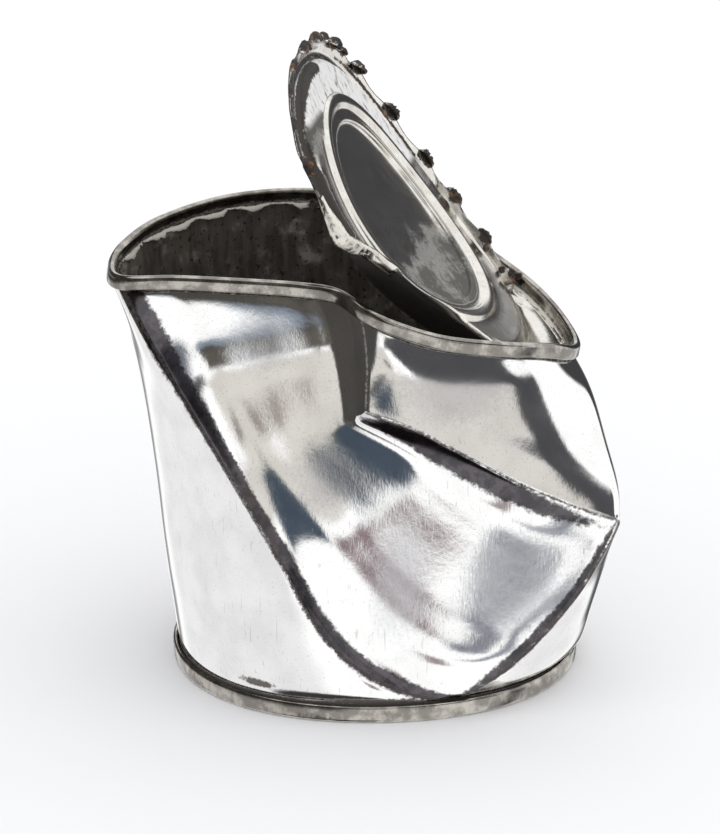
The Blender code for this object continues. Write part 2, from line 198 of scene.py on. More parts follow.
# The cut edge swells out by each bite, and on the near side of the tip it is bent over. Each begins at a
# radius.
EDGE_SWELL = 0.35
SWELL_FROM = 33.0
EDGE_CURL = -1.7
CURL_FROM = 32.2
# How far past the near crease the lid's relief is pressed flat.
FLATTENED_BY = 2.5
# The near flange is rolled over between these distances from the uncut strip.
ROLL_FROM = 50.0
ROLL_TO = 30.5
ROLL_RADIUS = 1.2
ROLL_POINTS = (14, 26)

# --- the top end's wear
# Places on the lid, as (angle, radius) pairs: a rusty line by the far edge, the darkened groove, three
# spots of rust and a blot of dirt. LIP_RUST has places on the lip, as X, Y and Z.
RUSTY_LINE = ((95, 34.0), (118, 34.2), (134, 34.0), (158, 33.2))
DARKENED_GROOVE = ((178, 30.6), (186, 31.0), (202, 31.8), (222, 32.8), (236, 31.8), (262, 29.6))
EDGE_RUST = ((35.0, 33.6), (47.0, 33.6), (57.0, 33.6))
TIP_DIRT = (239.0, 33.0)
# How far past the near crease the fold is quite dark: this darkness is painted shade, for the dark
# reflection there.
DARK_BY = 1.2
# The lip turns cream between these places along Y. The roll's cream: share of the way along, how much.
CREAM_SPAN = (-6.0, 12.0)
ROLL_CREAM = ((0.0, 0.4), (0.2, 0.66), (0.6, 0.62), (1.0, 0.1))
LIP_RUST = (
    (-19.5, 31.6, 76.0), (-11.5, 33.2, 76.3), (-26.0, 28.0, 76.2), (8.0, 33.0, 72.5), (-43.5, 5.0, 73.0))

# --- the bottom end, as in the part's source
COUNTERSINK = ((-0.4, 3.6), (-0.8, 4.4), (-1.5, 4.7), (-2.2, 4.4), (-2.6, 3.6))
BOTTOM_PROFILE = (
    (0.84, 3.5), (0.80, 3.1), (0.76, 3.5), (0.70, 3.5), (0.66, 3.1), (0.62, 3.5), (0.56, 3.5), (0.53, 3.9),
    (0.25, 3.9))

# --- the solids' counts of cells, and how much finer this script makes them
# A fineness has a number for the left wall, the dent, the facet and the back.
WALL_FINENESS = (4, 4, 4, 2)
SEAM_FINENESS = (4, 4, 4, 4)
LEFT_CELLS = 16
DENT_CELLS = 14
FACET_CELLS = 8
FOLD_CELLS = 6
BACK_CELLS = 18
WELD = 0.01

# --- the camera: in front of the dent, looking down
CAMERA_ANGLE = 19.5
CAMERA_DISTANCE = 600.0
CAMERA_AIM = (-2.8, 0.0, 45.5)
SENSOR_WIDTH = 36.0
FOCAL_LENGTH = 164.1


def smooth_curve(points, closed=False, steps=16):
    """Catmull-Rom curve through the points, with `steps` samples to each span."""
    p = np.asarray(points, float)
    if closed:
        p = np.vstack([p[-1], p, p[0], p[1]])
    else:
        p = np.vstack([2 * p[0] - p[1], p, 2 * p[-1] - p[-2]])
    t = np.linspace(0.0, 1.0, steps, endpoint=False)[:, None]
    spans = [
        0.5 * (2 * b + (c - a) * t + (2 * a - 5 * b + 4 * c - d) * t**2
               + (3 * b - a - 3 * c + d) * t**3)
        for a, b, c, d in zip(p, p[1:], p[2:], p[3:])
    ]
    return np.vstack(spans + [p[-2:-1]])


def spaced(curve, cells):
    """cells + 1 points at even distances along a polyline."""
    run = np.r_[0.0, np.cumsum(np.linalg.norm(np.diff(curve, axis=0), axis=1))]
    marks = np.linspace(0.0, run[-1], cells + 1)
    return np.column_stack([np.interp(marks, run, values) for values in curve.T])


def between(start, middle, end, cells):
    """Evenly spaced smooth curve from start to end through the middle points."""
    return spaced(smooth_curve([start, *middle, end]), cells)


def unit(vectors):
    return vectors / np.linalg.norm(vectors, axis=-1, keepdims=True)


class SeamLine:
    """The closed crest line of a double seam, with an outward and an up direction at each point."""

    def __init__(self, points, up):
        self.points = np.asarray(points, float)
        along = unit(np.roll(self.points, -1, axis=0) - np.roll(self.points, 1, axis=0))
        up = np.broadcast_to(np.asarray(up, float), along.shape)
        self.up = unit(up - (up * along).sum(axis=1, keepdims=True) * along)
        self.out = np.cross(along, self.up) * (1.0 if self.up[0, 2] > 0 else -1.0)
        steps = np.linalg.norm(np.roll(self.points, -1, axis=0) - self.points, axis=1)
        self.run = np.r_[0.0, np.cumsum(steps)[:-1]]

    def row(self, out, depth):
        """The points that lie `out` beyond the body wall and `depth` below the crest."""
        out, depth = np.broadcast_to(out, self.run.shape), np.broadcast_to(depth, self.run.shape)
        return self.points + self.out * (out - LAYER_PITCH)[:, None] - self.up * depth[:, None]


def arc(centre, radius, start, end, steps):
    """Points round an arc in a seam's section: (out, depth), angles in degrees from +out to the crest."""
    return [
        (centre[0] + radius * math.cos(a), centre[1] - radius * math.sin(a))
        for a in np.radians(np.linspace(start, end, steps + 1))
    ]


def end_seam(height):
    """Section of an end's metal in a double seam, from the hook's end over the crest to the chuck wall."""
    top = 2 * LAYER_PITCH + SHEET / 2
    curl = height - LAYER_PITCH - SHEET / 2
    return (
        [(LAYER_PITCH, top + END_TUCK)]
        + arc((2 * LAYER_PITCH, curl), LAYER_PITCH, 180, 360, 6)
        + arc((LAYER_PITCH, top), 2 * LAYER_PITCH, 0, 180, 12)
    )


def base_point(angle):
    """A point of the bottom seam's crest line, which rests on the floor."""
    a = math.radians(angle)
    radius = WALL_RADIUS + LAYER_PITCH
    front = max(0.0, math.cos(a - math.radians(5.0))) ** 3
    return (radius * math.sin(a), -radius * math.cos(a) + BASE_FLAT * front, 0.0)


def rim_line(fineness):
    """The top seam's columns: left wall, dent, facet, back; starting at the back-left line."""
    names = list(RIM)
    start = names.index("back_left_2")
    names = names[start:] + names[:start]
    steps = 16
    curve = smooth_curve([RIM[name] for name in names], closed=True, steps=steps)
    corners = [names.index(name) for name in ("left_corner", "nose_top", "right_corner")]
    marks = [0, *corners, len(names)]
    cells = (LEFT_CELLS, DENT_CELLS, FACET_CELLS, BACK_CELLS)
    pieces = [
        spaced(curve[a * steps:b * steps + 1], n * fine)[:-1]
        for a, b, n, fine in zip(marks, marks[1:], cells, fineness)]
    return SeamLine(np.vstack(pieces), RIM_UP)


def base_line(fineness):
    """The bottom seam's columns: left wall, foot of the lower right wall, back."""
    left, foot, _, back = fineness
    foot_cells = DENT_CELLS - FACET_CELLS
    angles = np.r_[
        np.linspace(BACK_LEFT_ANGLE, DENT_FOOT_ANGLE, LEFT_CELLS * left, endpoint=False),
        np.linspace(DENT_FOOT_ANGLE, RIGHT_SIDE_ANGLE, foot_cells * foot, endpoint=False),
        np.linspace(RIGHT_SIDE_ANGLE, BACK_LEFT_ANGLE + 360.0, BACK_CELLS * back, endpoint=False),
    ]
    return SeamLine([base_point(a) for a in angles], (0.0, 0.0, -1.0))


def standing_wall(angle, height):
    """A point of the wall as it stood before the crush: a cone from the round base to an oval rim."""
    a = math.radians(angle)
    centre_x, half_width, half_depth, rim_z = STANDING_OVAL
    base = np.array(base_point(angle)) + (0.0, 0.0, BOTTOM_SEAM_HEIGHT)
    rim = np.array((centre_x + half_width * math.sin(a), -half_depth * math.cos(a), rim_z))
    return base + (rim - base) * height


def patch(top, bottom, left, right, fade=(1.0, 1.0)):
    """A grid ruled from top to bottom, with its sides' bends fading into it."""
    v = np.linspace(0.0, 1.0, len(left))[:, None, None]
    u = np.linspace(0.0, 1.0, len(top))[None, :, None]
    ruled = top[None] * (1 - v) + bottom[None] * v
    left_bend = left[:, None] - ruled[:, :1]
    right_bend = right[:, None] - ruled[:, -1:]
    return ruled + left_bend * (1 - u) ** fade[0] + right_bend * u ** fade[1]


def hollow(grid, depth):
    """Push the middle of a patch back, leaving its edges where they are."""
    v = np.linspace(0.0, 1.0, grid.shape[0])[:, None, None]
    u = np.linspace(0.0, 1.0, grid.shape[1])[None, :, None]
    return grid + BACKWARD * depth * np.sin(math.pi * u) * np.sin(math.pi * v)


def step_in(grid, depth, widths):
    """Push a patch's inside back, over a step beside each edge.

    widths are the steps' widths at the top, right, bottom and left edges.
    """
    share = np.ones(grid.shape[:2])
    for axis, (first, last) in enumerate(((widths[0], widths[2]), (widths[3], widths[1]))):
        lengths = np.linalg.norm(np.diff(grid, axis=axis), axis=2)
        run = np.cumsum(lengths, axis=axis)
        start = np.zeros_like(np.take(run, [0], axis=axis))
        run = np.concatenate([start, run], axis=axis)
        left = np.take(run, [-1], axis=axis) - run
        share *= (1.0 - np.exp(-run / first)) * (1.0 - np.exp(-left / last))
    return grid + BACKWARD * depth * share[:, :, None]


def wrap(rows):
    """A grid whose last column is its first: a band that goes all the way round."""
    grid = np.asarray(rows)
    return np.concatenate([grid, grid[:, :1]], axis=1)


def looped(line):
    """A line that comes back to its first point."""
    return np.vstack([line, line[:1]])


def in_frame(points):
    """Points in millimetres round the standing can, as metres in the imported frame."""
    return np.asarray(points, float) * MM + CAN_CENTRE


def placed(name, data):
    """A new object in the scene."""
    item = bpy.data.objects.new(name, data)
    bpy.context.scene.collection.objects.link(item)
    return item


def build(name, grids, fans=(), creases=(), marks=()):
    """An object from grids of points, rows running down or inward, with shared edges welded.

    creases are (line, weights along it) pairs. marks are (name, one array to each grid) pairs.
    """
    bm = bmesh.new()
    layers = [bm.verts.layers.float.new(mark) for mark, _ in marks]
    for index, grid in enumerate(grids):
        verts = [[bm.verts.new(point) for point in row] for row in in_frame(grid)]
        for layer, (_, values) in zip(layers, marks):
            for row, amounts in zip(verts, values[index]):
                for vert, amount in zip(row, amounts):
                    vert[layer] = amount
        for upper, lower in zip(verts, verts[1:]):
            for i in range(len(upper) - 1):
                bm.faces.new((lower[i], lower[i + 1], upper[i + 1], upper[i]))
    for centre, ring in fans:
        middle = bm.verts.new(in_frame(centre))
        verts = [bm.verts.new(point) for point in in_frame(ring)]
        for layer, (_, values) in zip(layers, marks):
            middle[layer] = np.mean(values[-1][-1])
            for vert, amount in zip(verts, values[-1][-1]):
                vert[layer] = amount
        for a, b in zip(verts, verts[1:] + verts[:1]):
            bm.faces.new((middle, b, a))
    bmesh.ops.remove_doubles(bm, verts=bm.verts, dist=WELD * MM)
    add_creases(bm, creases)
    mesh = bpy.data.meshes.new(name)
    bm.to_mesh(mesh)
    bm.free()
    mesh.shade_smooth()
    return placed(name, mesh)


def add_creases(bm, creases):
    """Give the edges along each line the weight that stands at that place of the line."""
    if not creases:
        return
    layer = bm.edges.layers.float.new("crease_edge")
    bm.verts.ensure_lookup_table()
    tree = kdtree.KDTree(len(bm.verts))
    for vert in bm.verts:
        tree.insert(vert.co, vert.index)
    tree.balance()
    for line, weights in creases:
        verts = [bm.verts[tree.find(Vector(point))[1]] for point in in_frame(line)]
        for a, b, weight in zip(verts, verts[1:], weights):
            edge = bm.edges.get((a, b))
            if edge:
                edge[layer] = max(edge[layer], weight)


def thicken(item, inner_slot=0, even=True):
    """Give a sheet its real thickness. inner_slot is the material slot of its inner face.

    even keeps the thickness over bends; torn, crumpled metal does without it.
    """
    sheet = item.modifiers.new("sheet", "SOLIDIFY")
    sheet.thickness = SHEET * MM
    sheet.offset = 0.0
    sheet.use_even_offset = even
    sheet.material_offset = inner_slot


def smooth_out(item):
    """Apply one level of a subdivision surface to an object."""
    smooth = item.modifiers.new("smooth", "SUBSURF")
    smooth.levels = 1
    fine = bpy.data.meshes.new_from_object(item.evaluated_get(bpy.context.evaluated_depsgraph_get()))
    item.modifiers.clear()
    item.data = fine
    fine.shade_smooth()


def places(item):
    """An object's points in millimetres round the standing can."""
    values = np.empty(len(item.data.vertices) * 3)
    item.data.vertices.foreach_get("co", values)
    return (values.reshape(-1, 3) - CAN_CENTRE) / MM


def mark(item, name, parts):
    """Write the largest of some numbers at each point of an object, for its material to read."""
    layer = item.data.attributes.new(name, "FLOAT", "POINT")
    layer.data.foreach_set("value", np.maximum.reduce(parts).astype(np.float32))


def stains(spots, table):
    """What a table of (strength, centre, radii) stains."""
    return [amount * blot(spots, centre, radii) for amount, centre, radii in table]


def nearest(points, line):
    """Each point's distance from a polyline, and the closest place along it as a share of its spans."""
    closest, place = np.full(len(points), 1e9), np.zeros(len(points))
    for i, (a, b) in enumerate(zip(line, line[1:])):
        step = b - a
        share = np.clip(((points - a) @ step) / (step @ step), 0.0, 1.0)
        distance = np.linalg.norm(points - a - share[:, None] * step, axis=1)
        nearer = distance < closest
        closest = np.where(nearer, distance, closest)
        place = np.where(nearer, (i + share) / (len(line) - 1), place)
    return closest, place


def near_line(points, line, reach):
    """1 on a polyline, falling away over a reach."""
    return np.exp(-(nearest(points, line)[0] / reach) ** 2)


def band(points, line, offset, widths):
    """1 along a line moved by an offset, 0.5 at the half width that holds there, 0 from 1.5 of it on."""
    closest, place = nearest(points, line + np.asarray(offset))
    width = np.interp(place, np.linspace(0.0, 1.0, len(widths)), widths)
    return np.clip(1.5 - closest / width, 0.0, 1.0)


def blot(points, centre, radii):
    """1 at a centre, falling away over the three radii."""
    return np.exp(-(((points - centre) / radii) ** 2).sum(axis=1))


def along(weights, cells):
    """Crease weights for the edges of a line, eased between a few given ones."""
    return np.interp(np.linspace(0.0, 1.0, cells), np.linspace(0.0, 1.0, len(weights)), weights)


def make_wall():
    """The crushed wall, from the rolled flange in the top seam to the one in the bottom seam."""
    fine = WALL_FINENESS[0]
    rim, base = rim_line(WALL_FINENESS), base_line(WALL_FINENESS)
    top = rim.row(0.0, TOP_SEAM_HEIGHT)
    bottom = base.row(0.0, BOTTOM_SEAM_HEIGHT)
    top_ring, bottom_ring = looped(top), looped(bottom)

    left_cells, dent_cells, facet_cells, fold_cells = (
        n * fine for n in (LEFT_CELLS, DENT_CELLS, FACET_CELLS, FOLD_CELLS))
    foot_cells = dent_cells - facet_cells
    side_cells = fold_cells + facet_cells
    corner = left_cells
    nose = corner + dent_cells
    right = nose + facet_cells
    foot = left_cells
    side = foot + foot_cells

    peak = np.array(RIGHT_PEAK)
    ridge_points = [standing_wall(*p) for p in LEFT_RIDGE]
    left_ridge = between(top_ring[corner], ridge_points, bottom_ring[foot], side_cells)
    lower_right_ridge = between(bottom_ring[foot], LOWER_RIGHT_RIDGE, peak, dent_cells)
    fold = between(top_ring[nose], UPRIGHT_FOLD, NOSE, fold_cells)
    cross_ridge = between(NOSE, CROSS_RIDGE, peak, facet_cells)
    edge_above = between(top_ring[right], RIGHT_EDGE_ABOVE, peak, fold_cells)
    edge_below = between(peak, RIGHT_EDGE_BELOW, bottom_ring[side], facet_cells)
    right_edge = np.vstack([edge_above, edge_below[1:]])
    fold_and_ridge = np.vstack([fold, cross_ridge[1:]])
    back_left = spaced(np.array([top_ring[0], bottom_ring[0]]), side_cells)

    dent = patch(top_ring[corner:nose + 1], lower_right_ridge, left_ridge, fold_and_ridge)
    facet = patch(top_ring[nose:right + 1], cross_ridge, fold, edge_above)
    grids = [
        patch(top_ring[:corner + 1], bottom_ring[:foot + 1], back_left, left_ridge, fade=(1, 2)),
        step_in(hollow(dent, DENT_DEPTH), STEP_DEPTH, STEP_WIDTHS),
        hollow(facet, FACET_DEPTH),
        patch(lower_right_ridge[facet_cells:], bottom_ring[foot:side + 1],
              lower_right_ridge[facet_cells::-1], edge_below),
        patch(top_ring[right:], bottom_ring[side:], right_edge, back_left, fade=(3, 1)),
        wrap([rim.row(0.0, TOP_SEAM_HEIGHT * share) for share in WALL_TUCK[::-1]] + [top]),
        wrap([bottom] + [base.row(0.0, BOTTOM_SEAM_HEIGHT * share) for share in WALL_TUCK]),
    ]
    creases = [
        (left_ridge, along(LEFT_CREASE, side_cells)),
        (lower_right_ridge, along(LOWER_RIGHT_CREASE, dent_cells)),
        (fold, along(FOLD_CREASE, fold_cells)),
        (cross_ridge, along(CROSS_CREASE, facet_cells)),
    ]
    # The share of the way round the back wall, for its weld. It is -1 everywhere else.
    round_back = [np.full(grid.shape[:2], -1.0) for grid in grids]
    round_back[4][:] = np.linspace(0.0, 1.0, grids[4].shape[1])
    wall = build("wall", grids, creases=creases, marks=[("round", round_back)])
    smooth_out(wall)
    spots = places(wall)
    mark(wall, "grime_and_shade", stains(spots, WALL_STAINS) + [
        # Along the ridges and the fold, partly grime and partly painted shade.
        0.55 * near_line(spots, left_ridge, 0.7),
        0.75 * near_line(spots, lower_right_ridge, 0.55),
        0.6 * near_line(spots, cross_ridge, 0.6),
        0.5 * near_line(spots, fold, 0.5),
        0.8 * near_line(spots, bottom_ring, 0.7),
        0.6 * near_line(spots, top_ring, 0.4),
    ])
    # Dark bands by the ridges: painted shade, partly grime.
    mark(wall, "crease", [
        band(spots, left_ridge, *LEFT_SHADE_BAND),
        band(spots, cross_ridge, *CROSS_SHADE_BAND),
        band(spots, lower_right_ridge, *LOWER_RIGHT_SHADE_BAND),
    ])
    mark(wall, "tarnish", [blot(spots, *each) for each in WALL_TARNISH])
    wall.data.materials.append(MATERIALS["bright"])
    wall.data.materials.append(MATERIALS["inside"])
    thicken(wall, inner_slot=1)
    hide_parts("can_body")
    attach(wall, BODY)


def make_bottom_end():
    """The bottom end: its double seam, countersink, beads and centre panel."""
    base = base_line(SEAM_FINENESS)
    chuck_foot = (-LAYER_PITCH, BOTTOM_SEAM_HEIGHT - CHUCK_STOP)
    inner = smooth_curve([chuck_foot, *COUNTERSINK], steps=3)
    rows = [base.row(*p) for p in (*end_seam(BOTTOM_SEAM_HEIGHT), *inner)]
    wall = base.row(0.0, 0.0)
    panel = smooth_curve(BOTTOM_PROFILE, steps=4)
    rows += [wall * (share, share, 1.0) + (0.0, 0.0, depth) for share, depth in panel]
    end = build("bottom_end_finish", [wrap(rows)], [((0.0, 0.0, BOTTOM_PROFILE[-1][1]), rows[-1])])
    spots = places(end)
    crest, shoulder = base.row(0.3, 0.1), base.row(0.6, BOTTOM_SEAM_HEIGHT - 0.2)
    mark(end, "grime_and_shade", stains(spots, SEAM_STAINS) + [
        0.7 * near_line(spots, looped(crest), 0.5),
        0.45 * near_line(spots, looped(shoulder), 0.4),
    ])
    mark(end, "rust", [blot(spots, *each) for each in SEAM_RUST])
    mark(end, "seam", [np.where(np.hypot(spots[:, 0], spots[:, 1]) > 30.0, 1.0, 0.45)])
    end.data.materials.append(MATERIALS["dull"])
    thicken(end)
    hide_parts("bottom_end")
    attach(end, BODY)


def lid_frame(distance):
    """Where the lid's middle line is at a distance from the strip, and its outward direction there."""
    marks = np.linspace(0.0, distance, LID_STEPS + 1)
    slope = np.radians(np.interp(marks, *zip(*LID_RISE)))
    middle, step = (slope[1:] + slope[:-1]) / 2, distance / LID_STEPS
    run, rise = np.cos(middle).sum() * step, np.sin(middle).sum() * step
    heading = np.array(LID_HEADING)
    point = np.array(LID_START) + heading * run + (0.0, 0.0, rise)
    return point, np.array((0.0, 0.0, math.cos(slope[-1]))) - heading * math.sin(slope[-1])


def lid_place(radius, angle):
    """How far from the strip a point of the flat lid lies, and how far across."""
    return LID_RADIUS - radius * math.cos(angle), radius * math.sin(angle)


def lid_point(radius, angle, height):
    """A point of the bent lid; angle 0 points back to the strip, and height is towards the outer face."""
    distance, offset = lid_place(radius, angle)
    point, normal = lid_frame(distance)
    crease, (sideways, outward) = (FAR_CREASE, FAR_BEND) if offset > 0 else (NEAR_CREASE, NEAR_BEND)
    beyond = max(0.0, abs(offset) - np.interp(distance, *zip(*crease)))
    offset -= math.copysign(beyond * (1.0 - sideways), offset)
    return point + LID_ACROSS * offset + normal * (height + beyond * outward)


def edge_out(angle):
    """How far the lid's cut edge swells out: most at each tooth, least halfway between two."""
    turn = np.degrees(angle) % 360.0
    at = [tooth for tooth, _ in TEETH]
    phase = np.interp(turn, at, np.arange(len(at)), left=0.5, right=len(at) - 0.5)
    return EDGE_SWELL * math.cos(phase * 2 * math.pi)


def edge_curl(angle):
    """How far the cut edge is bent over, past the flat: on the near side of the tip only."""
    turn = np.degrees(angle) % 360.0
    return EDGE_CURL * np.interp(turn, (178.0, 200.0, 232.0, 252.0), (0.0, 1.0, 1.0, 0.0))


def lid_edge(angle, out=0.0, up=0.0):
    """A point on or near the lid's cut edge."""
    swell = edge_out(angle)
    return lid_point(LID_RADIUS + swell + out, angle, EDGE_HEIGHT + 0.5 * swell + edge_curl(angle) + up)


def tooth(angle, size, rng):
    """A torn tongue of sheet that curls up and back over the lid's edge."""
    rows = []
    long, wide = TOOTH_POINTS
    rough = rng.normal(0.0, 0.11, (long, wide))
    jag = rng.normal(0.0, 0.12, wide)
    for i, curl in enumerate(np.radians(np.linspace(0.0, TOOTH_CURL, long))):
        row = []
        for j, across in enumerate(np.linspace(-1.0, 1.0, wide)):
            reach = size * (1.0 - 0.8 * across**4) * (1.0 + rough[i, j] + jag[j])
            turn = math.radians(angle) + across * TOOTH_HALF * (0.5 + 0.6 * size) / LID_RADIUS
            out = reach * math.sin(curl) - 0.45 * reach * (1.0 - math.cos(curl))
            row.append(lid_edge(turn, out, 0.85 * reach * (1.0 - math.cos(curl))))
        rows.append(row)
    return rows


def rolled_edge(rng):
    """The near flange where it rolls over on itself, above the fold."""
    rows = []
    turns, long = ROLL_POINTS
    distances = np.linspace(ROLL_FROM, ROLL_TO, long)
    for turn in np.radians(np.linspace(-70.0, 200.0, turns)):
        row = []
        for i, distance in enumerate(distances):
            point, normal = lid_frame(distance)
            half_width = math.sqrt(LID_RADIUS**2 - (distance - LID_RADIUS)**2)
            side = min(np.interp(distance, *zip(*NEAR_CREASE)), half_width)
            share = i / (long - 1)
            radius = ROLL_RADIUS * np.interp(share, (0.0, 0.3, 0.8, 1.0), (0.35, 1.0, 1.1, 0.8))
            radius *= 1.0 + 0.12 * math.sin(9.0 * share + 2.0 * turn) + rng.normal(0.0, 0.03)
            aside = LID_ACROSS * (side + radius * math.cos(turn))
            row.append(point - aside + normal * radius * math.sin(turn))
        rows.append(row)
    return rows


def lid_film_and_reflection(radius, angle):
    """How much film lies there: on the lower panel, where its near black colour is partly painted dark
    reflection, and on the flat ring round the tip, where it is pale.
    """
    distance, offset = lid_place(radius, angle)
    panel = np.interp(distance, (10.0, 24.0, 33.0), (0.6, 0.75, 0.0)) * (radius < 21.0)
    low = np.interp(offset, (-8.0, 8.0), (55.0, 34.0))
    ring = np.interp(distance, (low - 6.0, low + 6.0), (0.0, 0.9)) * (24.8 < radius < 31.5)
    return max(panel, ring)


def outer_share(radius, start):
    """0 up to a radius of the lid, rising to 1 at its edge."""
    return np.clip((radius - start) / (LID_RADIUS - start), 0.0, 1.0)


def past_crease(radius, angle):
    """How far past the near crease a lid point lies, in millimetres."""
    distance, offset = lid_place(radius, angle)
    return max(0.0, -offset - np.interp(distance, *zip(*NEAR_CREASE)))


def cut_lip(rim, hinge, rng):
    """The ragged line that the cut left inside the seam ring. It runs smoothly where the lid hangs on."""
    wave = 2 * math.pi * rim.run / BITE + BITE_WANDER * np.sin(rim.run / 9.0)
    ragged = LIP_RAGGED * np.sin(wave) + rng.normal(0, LIP_JITTER, len(rim.points))
    ragged += FLAP_LENGTH * blot(rim.points, FLAP, FLAP_RADII)
    ragged[hinge] = 0.0
    return rim.row(LIP_OUT - ragged, LIP_DEPTH + ragged)


def lid_grid(lip, hinge):
    """The lid from its edge to its panel, with its film, partly painted reflection, and its painted fold
    shade at each point.

    Its first columns end in the strip that the cut left whole, on the ring's lip.
    """
    first, last = HINGE_ANGLES
    cut_cells = LID_CUT_CELLS * SEAM_FINENESS[3]
    angles = np.radians(np.r_[
        np.linspace(first, last, len(hinge)),
        np.linspace(last, first + 360.0, cut_cells + 1)[1:-1],
    ])
    profile = smooth_curve(((LID_RADIUS, EDGE_HEIGHT),) + LID_PROFILE, steps=4)
    rows, film_and_reflection, fold = [], [], []
    for radius, height in profile:
        row = []
        for i, angle in enumerate(angles):
            out = edge_out(angle) * outer_share(radius, SWELL_FROM) if i >= len(hinge) else 0.0
            curl = edge_curl(angle) * outer_share(radius, CURL_FROM)
            flat = math.exp(-past_crease(radius, angle) / FLATTENED_BY)
            point = lid_point(radius + out, angle, height * flat + out * 0.5 + curl)
            if i < len(hinge):
                pull = lip[hinge[i]] - lid_point(LID_RADIUS, angle, EDGE_HEIGHT)
                point = point + pull * outer_share(radius, LID_FIXED_RADIUS)
            row.append(point)
        rows.append(row)
        film_and_reflection.append([lid_film_and_reflection(radius, angle) for angle in angles])
        # The painted shade of the part folded under.
        fold.append([min(1.0, past_crease(radius, angle) / DARK_BY) for angle in angles])
    return wrap(rows), wrap(film_and_reflection), wrap(fold)


def lid_spot(angle, radius, height=0.0):
    """A point of the lid at an angle in degrees and a radius."""
    return lid_point(radius, math.radians(angle), height)


def lid_line(pairs):
    """A line on the lid, through (angle, radius) pairs."""
    turns = range(pairs[0][0], pairs[-1][0], 3)
    return np.array([lid_spot(a, np.interp(a, *zip(*pairs)), -0.3) for a in turns])


def make_top_end():
    """The seam ring with its ragged lip, and the lid that hangs on at the uncut strip."""
    rim = rim_line(SEAM_FINENESS)
    first_hinge, last_hinge = (column * SEAM_FINENESS[3] for column in HINGE_COLUMNS)
    hinge = np.arange(first_hinge, last_hinge + 1)
    rng = np.random.default_rng(4)
    lip = cut_lip(rim, hinge, rng)
    chuck_foot = rim.row(-LAYER_PITCH, TOP_SEAM_HEIGHT - CHUCK_STOP)
    seam_section = end_seam(TOP_SEAM_HEIGHT)
    ring_rows = [rim.row(*p) for p in seam_section]
    ring_rows += [chuck_foot, chuck_foot * 0.5 + lip * 0.5 + rim.out * 0.08, lip]
    ring = wrap(ring_rows)

    lid, film_and_reflection, fold = lid_grid(lip, hinge)
    teeth = [np.array(tooth(*each, rng)) for each in TEETH]
    roll = np.array(rolled_edge(rng))
    grids = [ring, *teeth, roll, lid]

    # What each grid's points carry: the ring comes first, then the teeth, the roll and the lid.
    seam_rows = len(seam_section)
    seam, cream, film_and_reflection_marks, fold_shade_marks = ([np.zeros(grid.shape[:2]) for grid in grids] for _ in range(4))
    seam[0][:seam_rows] = 1.0
    seam[0][seam_rows] = 0.7
    cream[0][seam_rows + 1:, :-1] = np.interp(rim.points[:, 1], CREAM_SPAN, (0.0, 1.0))
    cream[0][:, -1] = cream[0][:, 0]
    cream[-2][:] = np.interp(np.linspace(0.0, 1.0, roll.shape[1]), *zip(*ROLL_CREAM))
    film_and_reflection_marks[-1], fold_shade_marks[-1] = film_and_reflection, fold
    marks = [("film_and_reflection", film_and_reflection_marks), ("fold", fold_shade_marks), ("seam", seam), ("cream", cream)]
    middle = lid_point(0.0, 0.0, LID_PROFILE[-1][1])
    end = build("top_end_finish", grids, [(middle, lid[-1][:-1])], marks=marks)

    spots = places(end)
    cut_edge = np.array([lid_edge(math.radians(a)) for a in range(42, 262, 3)])
    rust = [1.3 * blot(spots, lid_edge(math.radians(a), 0.2, size), 1.2 + 1.3 * size) for a, size in TEETH]
    rust += [0.85 * blot(spots, place, (2.0, 2.0, 1.2)) for place in LIP_RUST]
    rust += [blot(spots, lid_spot(*place), 0.95) for place in EDGE_RUST]
    rust += [
        0.62 * near_line(spots, cut_edge, 0.45),
        0.55 * near_line(spots, looped(lip), 0.35),
        0.78 * near_line(spots, lid_line(RUSTY_LINE), 0.5),
    ]
    mark(end, "rust", rust)
    under_seam = rim.row(LAYER_PITCH * 2, TOP_SEAM_HEIGHT + 0.1)
    mark(end, "grime_and_shade", [
        0.55 * near_line(spots, looped(chuck_foot), 0.6),
        0.75 * near_line(spots, looped(under_seam), 0.45),
        1.3 * near_line(spots, lid_line(DARKENED_GROOVE), 1.3),
        0.9 * blot(spots, lid_spot(*TIP_DIRT), 4.0),
    ])
    end.data.materials.append(MATERIALS["dull"])
    thicken(end, even=False)
    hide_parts("top_end")
    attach(end, BODY)


def can_centre():
    """The middle of the standing can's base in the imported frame, in metres, from the bottom end's box."""
    low, high = (np.array(corner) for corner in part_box("bottom_end"))
    outside = base_line((1, 1, 1, 1)).row(3 * LAYER_PITCH, 0.0) * MM
    middle = (outside.min(axis=0) + outside.max(axis=0)) / 2
    return ((low + high) / 2 - middle) * (1.0, 1.0, 0.0)


def make_camera():
    """Straight in front of the dent, from above it."""
    camera = bpy.data.cameras.new("camera")
    camera.sensor_fit = "HORIZONTAL"
    camera.sensor_width = SENSOR_WIDTH
    camera.lens = FOCAL_LENGTH
    eye = placed("camera", camera)
    angle = math.radians(CAMERA_ANGLE)
    away = (0.0, -CAMERA_DISTANCE * math.cos(angle), CAMERA_DISTANCE * math.sin(angle))
    eye.location = in_frame(np.array(CAMERA_AIM) + away)
    eye.rotation_euler = (math.radians(90.0) - angle, 0.0, 0.0)
    bpy.context.scene.camera = eye


